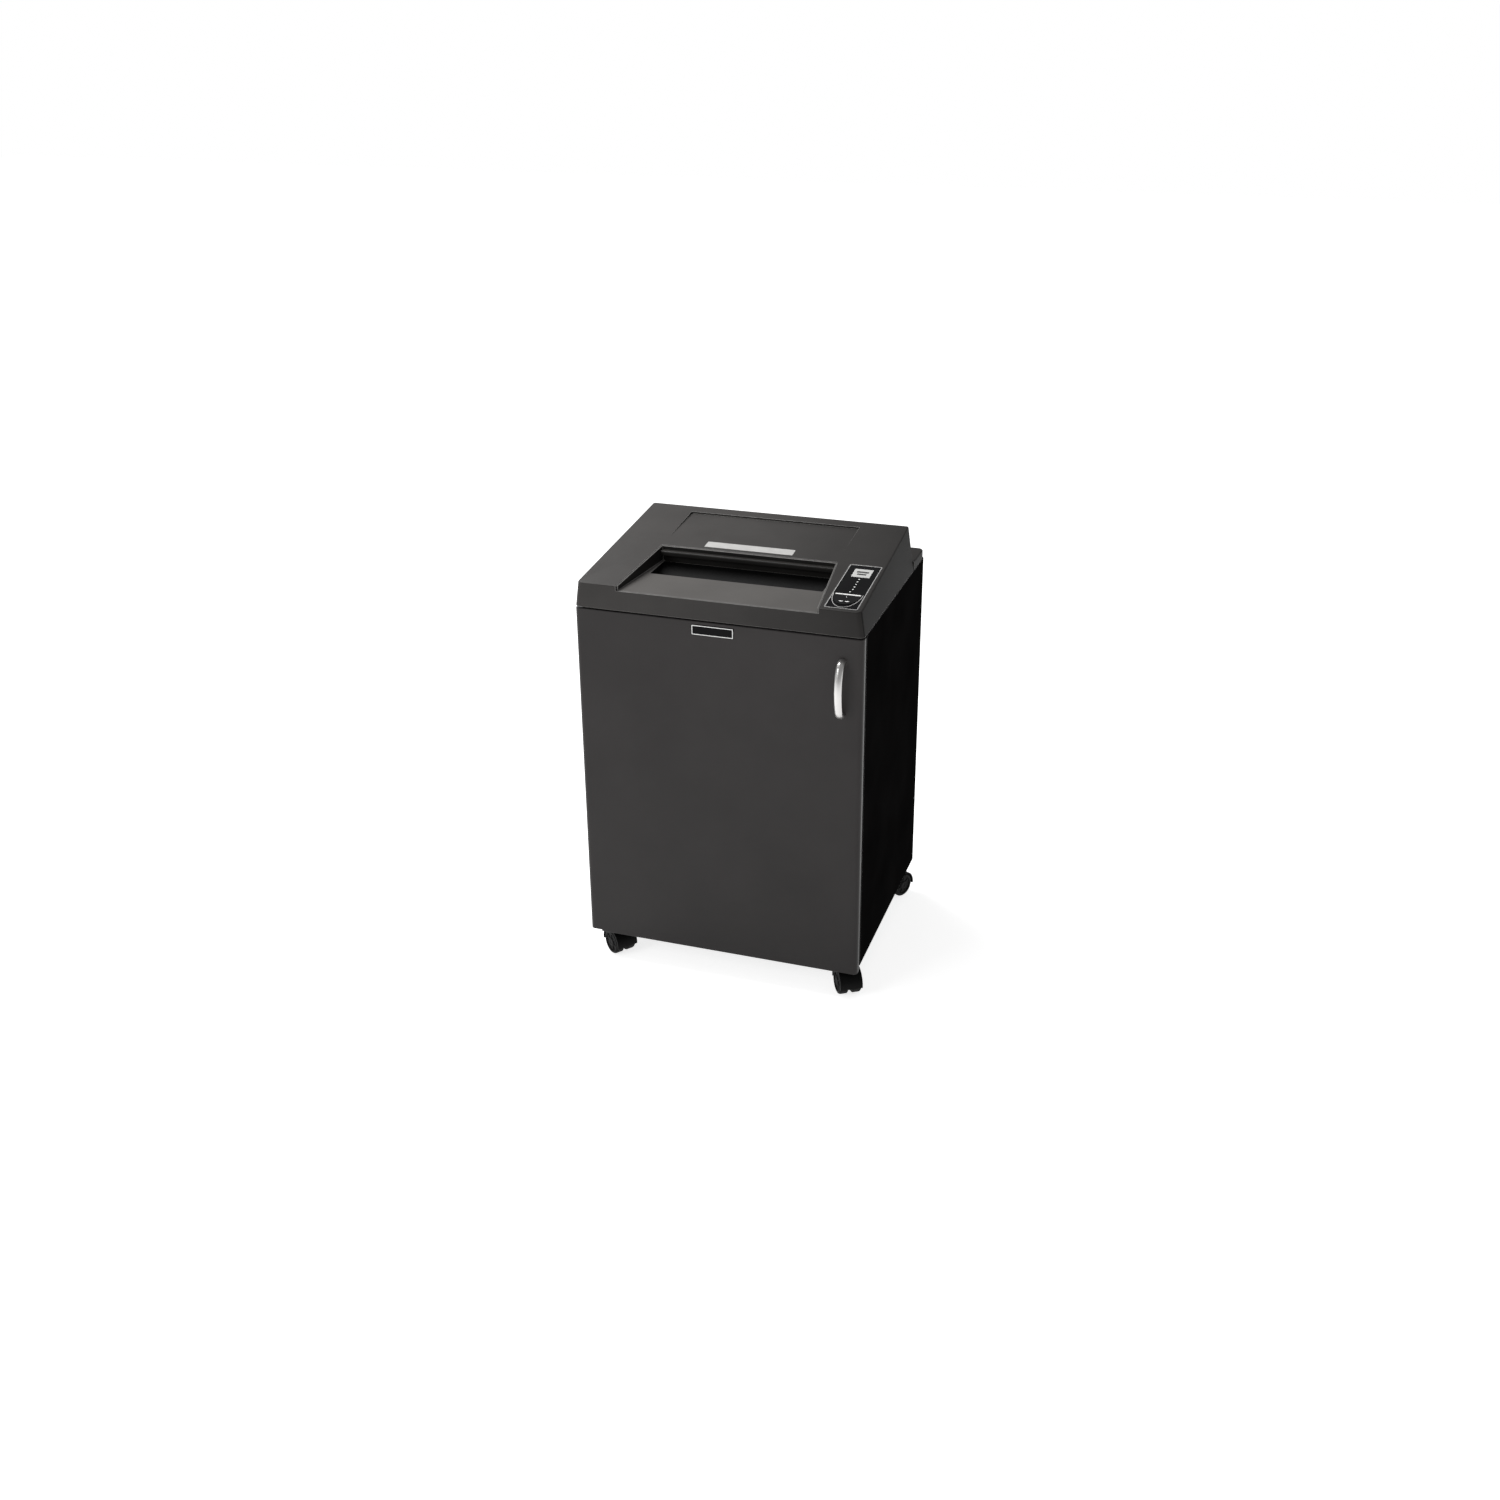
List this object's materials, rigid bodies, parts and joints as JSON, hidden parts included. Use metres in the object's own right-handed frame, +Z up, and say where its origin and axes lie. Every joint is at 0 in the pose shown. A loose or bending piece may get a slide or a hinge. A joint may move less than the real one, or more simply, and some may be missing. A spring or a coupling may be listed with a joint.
{
  "type": "paper shredder",
  "caption": "Cabinet paper shredder on twin-wheel casters: sloping head with a wide feed throat, hinged door, pull-out waste bin, geared twin cutters.",
  "frame": {"origin": "on the floor under the middle of the overall box", "axes": "+X to the right of a person facing the door, +Y from the door to the back, +Z up"},
  "size_m": [0.5632, 0.487, 0.8277],
  "materials": {
    "cabinet_board": "satin black laminate",
    "door_board": "satin charcoal",
    "cover_plastic": "satin charcoal",
    "dark_plastic": "matt black",
    "bezel_plastic": "gloss black",
    "caster_plastic": "satin black",
    "light_trim": "light grey",
    "grey_strip": "mid grey",
    "lens": "clear",
    "board_green": "circuit board",
    "handle_metal": "satin",
    "zinc": "zinc plated",
    "machined": "ground",
    "bronze": "sintered",
    "motor_paint": "black"
  },
  "bodies": {
    "cabinet": {"base_panel": "cabinet_board", "left_side_panel": "cabinet_board", "right_side_panel": "cabinet_board", "back_panel": "cabinet_board", "machine_shelf": "cabinet_board", "front_rail": "cabinet_board", "corner_brackets": "zinc", "wood_screws": "zinc", "caster_plates": "zinc", "lower_hinge": "zinc", "upper_hinge": "zinc", "magnet_catch": "dark_plastic", "interlock_switch": "dark_plastic", "discharge_chute": "zinc", "inlet_plate": "zinc", "power_inlet": "dark_plastic", "master_switch_frame": "dark_plastic", "left_frame_plate": "zinc", "right_frame_plate": "zinc", "tie_rods": "zinc", "shaft_bushes": "bronze", "gear_plate": "zinc", "front_stripper": "dark_plastic", "rear_stripper": "dark_plastic", "motor_housing": "motor_paint", "motor_capacitor": "motor_paint", "head_cover": "cover_plastic", "rear_deck_cover": "cover_plastic", "plain_strip": "grey_strip", "feed_tray": "cover_plastic", "throat_guide": "dark_plastic", "throat_bar": "dark_plastic", "paper_sensor": "dark_plastic", "control_bezel": "bezel_plastic", "display_plate": "light_trim", "status_bar": "light_trim", "indicator_lenses": "lens", "control_board": "board_green"},
    "door": {"door_panel": "door_board", "door_handle": "handle_metal", "handle_screws": "handle_metal", "door_badge": "bezel_plastic", "strike_plate": "handle_metal"},
    "bin": {"waste_bin": "dark_plastic"},
    "plunger": {"interlock_plunger": "dark_plastic"},
    "hood_front_left": {"caster_hood_front_left": "caster_plastic"},
    "wheels_front_left": {"caster_wheels_front_left": "caster_plastic"},
    "hood_front_right": {"caster_hood_front_right": "caster_plastic"},
    "wheels_front_right": {"caster_wheels_front_right": "caster_plastic"},
    "hood_back_left": {"caster_hood_back_left": "caster_plastic"},
    "wheels_back_left": {"caster_wheels_back_left": "caster_plastic"},
    "hood_back_right": {"caster_hood_back_right": "caster_plastic"},
    "wheels_back_right": {"caster_wheels_back_right": "caster_plastic"},
    "front_cutter": {"front_cutter": "machined"},
    "rear_cutter": {"rear_cutter": "machined"},
    "countershaft": {"countershaft": "machined"},
    "motor_rotor": {"motor_rotor": "machined"},
    "start_rocker": {"start_rocker": "bezel_plastic"},
    "master_switch": {"master_switch": "dark_plastic"}
  },
  "joints": [
    {"name": "door_swing", "type": "hinge", "parent": "cabinet", "child": "door", "pos_m": [-0.2645, -0.2015, 0.37], "axis": [0, 0, -1], "range_deg": [0, 120]},
    {"name": "bin_slide", "type": "slide", "parent": "cabinet", "child": "bin", "axis": [0, -1, 0], "range_m": [0, 0.179]},
    {"name": "interlock_press", "type": "slide", "parent": "cabinet", "child": "plunger", "axis": [0, -1, 0], "range_m": [0, 0.003]},
    {"name": "swivel_front_left", "type": "hinge", "parent": "cabinet", "child": "hood_front_left", "pos_m": [-0.238, -0.1705, 0.056], "axis": [0, 0, 1], "continuous": true},
    {"name": "roll_front_left", "type": "hinge", "parent": "hood_front_left", "child": "wheels_front_left", "pos_m": [-0.22362, -0.18133, 0.025], "axis": [0.6018, 0.7986, 0], "continuous": true},
    {"name": "swivel_front_right", "type": "hinge", "parent": "cabinet", "child": "hood_front_right", "pos_m": [0.238, -0.1705, 0.056], "axis": [0, 0, 1], "continuous": true},
    {"name": "roll_front_right", "type": "hinge", "parent": "hood_front_right", "child": "wheels_front_right", "pos_m": [0.24754, -0.18577, 0.025], "axis": [0.848, 0.5299, 0], "continuous": true},
    {"name": "swivel_back_left", "type": "hinge", "parent": "cabinet", "child": "hood_back_left", "pos_m": [-0.238, 0.1905, 0.056], "axis": [0, 0, 1], "continuous": true},
    {"name": "roll_back_left", "type": "hinge", "parent": "hood_back_left", "child": "wheels_back_left", "pos_m": [-0.24754, 0.17524, 0.025], "axis": [0.848, -0.5299, 0], "continuous": true},
    {"name": "swivel_back_right", "type": "hinge", "parent": "cabinet", "child": "hood_back_right", "pos_m": [0.238, 0.1905, 0.056], "axis": [0, 0, 1], "continuous": true},
    {"name": "roll_back_right", "type": "hinge", "parent": "hood_back_right", "child": "wheels_back_right", "pos_m": [0.24645, 0.20639, 0.025], "axis": [-0.8829, 0.4695, 0], "continuous": true},
    {"name": "rear_cutter_spin", "type": "hinge", "parent": "cabinet", "child": "rear_cutter", "pos_m": [0, -0.0795, 0.709], "axis": [1, 0, 0], "continuous": true},
    {"name": "front_cutter_spin", "type": "hinge", "parent": "cabinet", "child": "front_cutter", "pos_m": [0, -0.1215, 0.709], "axis": [1, 0, 0], "continuous": true},
    {"name": "countershaft_spin", "type": "hinge", "parent": "cabinet", "child": "countershaft", "pos_m": [0, -0.0195, 0.709], "axis": [1, 0, 0], "continuous": true},
    {"name": "motor_spin", "type": "hinge", "parent": "cabinet", "child": "motor_rotor", "pos_m": [0, 0.0305, 0.709], "axis": [1, 0, 0], "continuous": true},
    {"name": "start_rock", "type": "hinge", "parent": "cabinet", "child": "start_rocker", "pos_m": [0.2255, -0.16673, 0.78247], "axis": [0, 0.994, 0.1093], "range_deg": [-3, 3], "stiffness_Nm_per_rad": 0.5},
    {"name": "master_switch_rock", "type": "hinge", "parent": "cabinet", "child": "master_switch", "pos_m": [-0.114, 0.2355, 0.698], "axis": [1, 0, 0], "range_deg": [-8, 8]}
  ],
  "couplings": [
    {"joint": "bin_slide", "follows": "door_swing", "m_per_rad": 0.085},
    {"joint": "interlock_press", "follows": "door_swing", "m_per_rad": 0.00143},
    {"joint": "front_cutter_spin", "follows": "rear_cutter_spin", "ratio": -1},
    {"joint": "countershaft_spin", "follows": "rear_cutter_spin", "ratio": -3},
    {"joint": "motor_spin", "follows": "rear_cutter_spin", "ratio": 12}
  ]
}
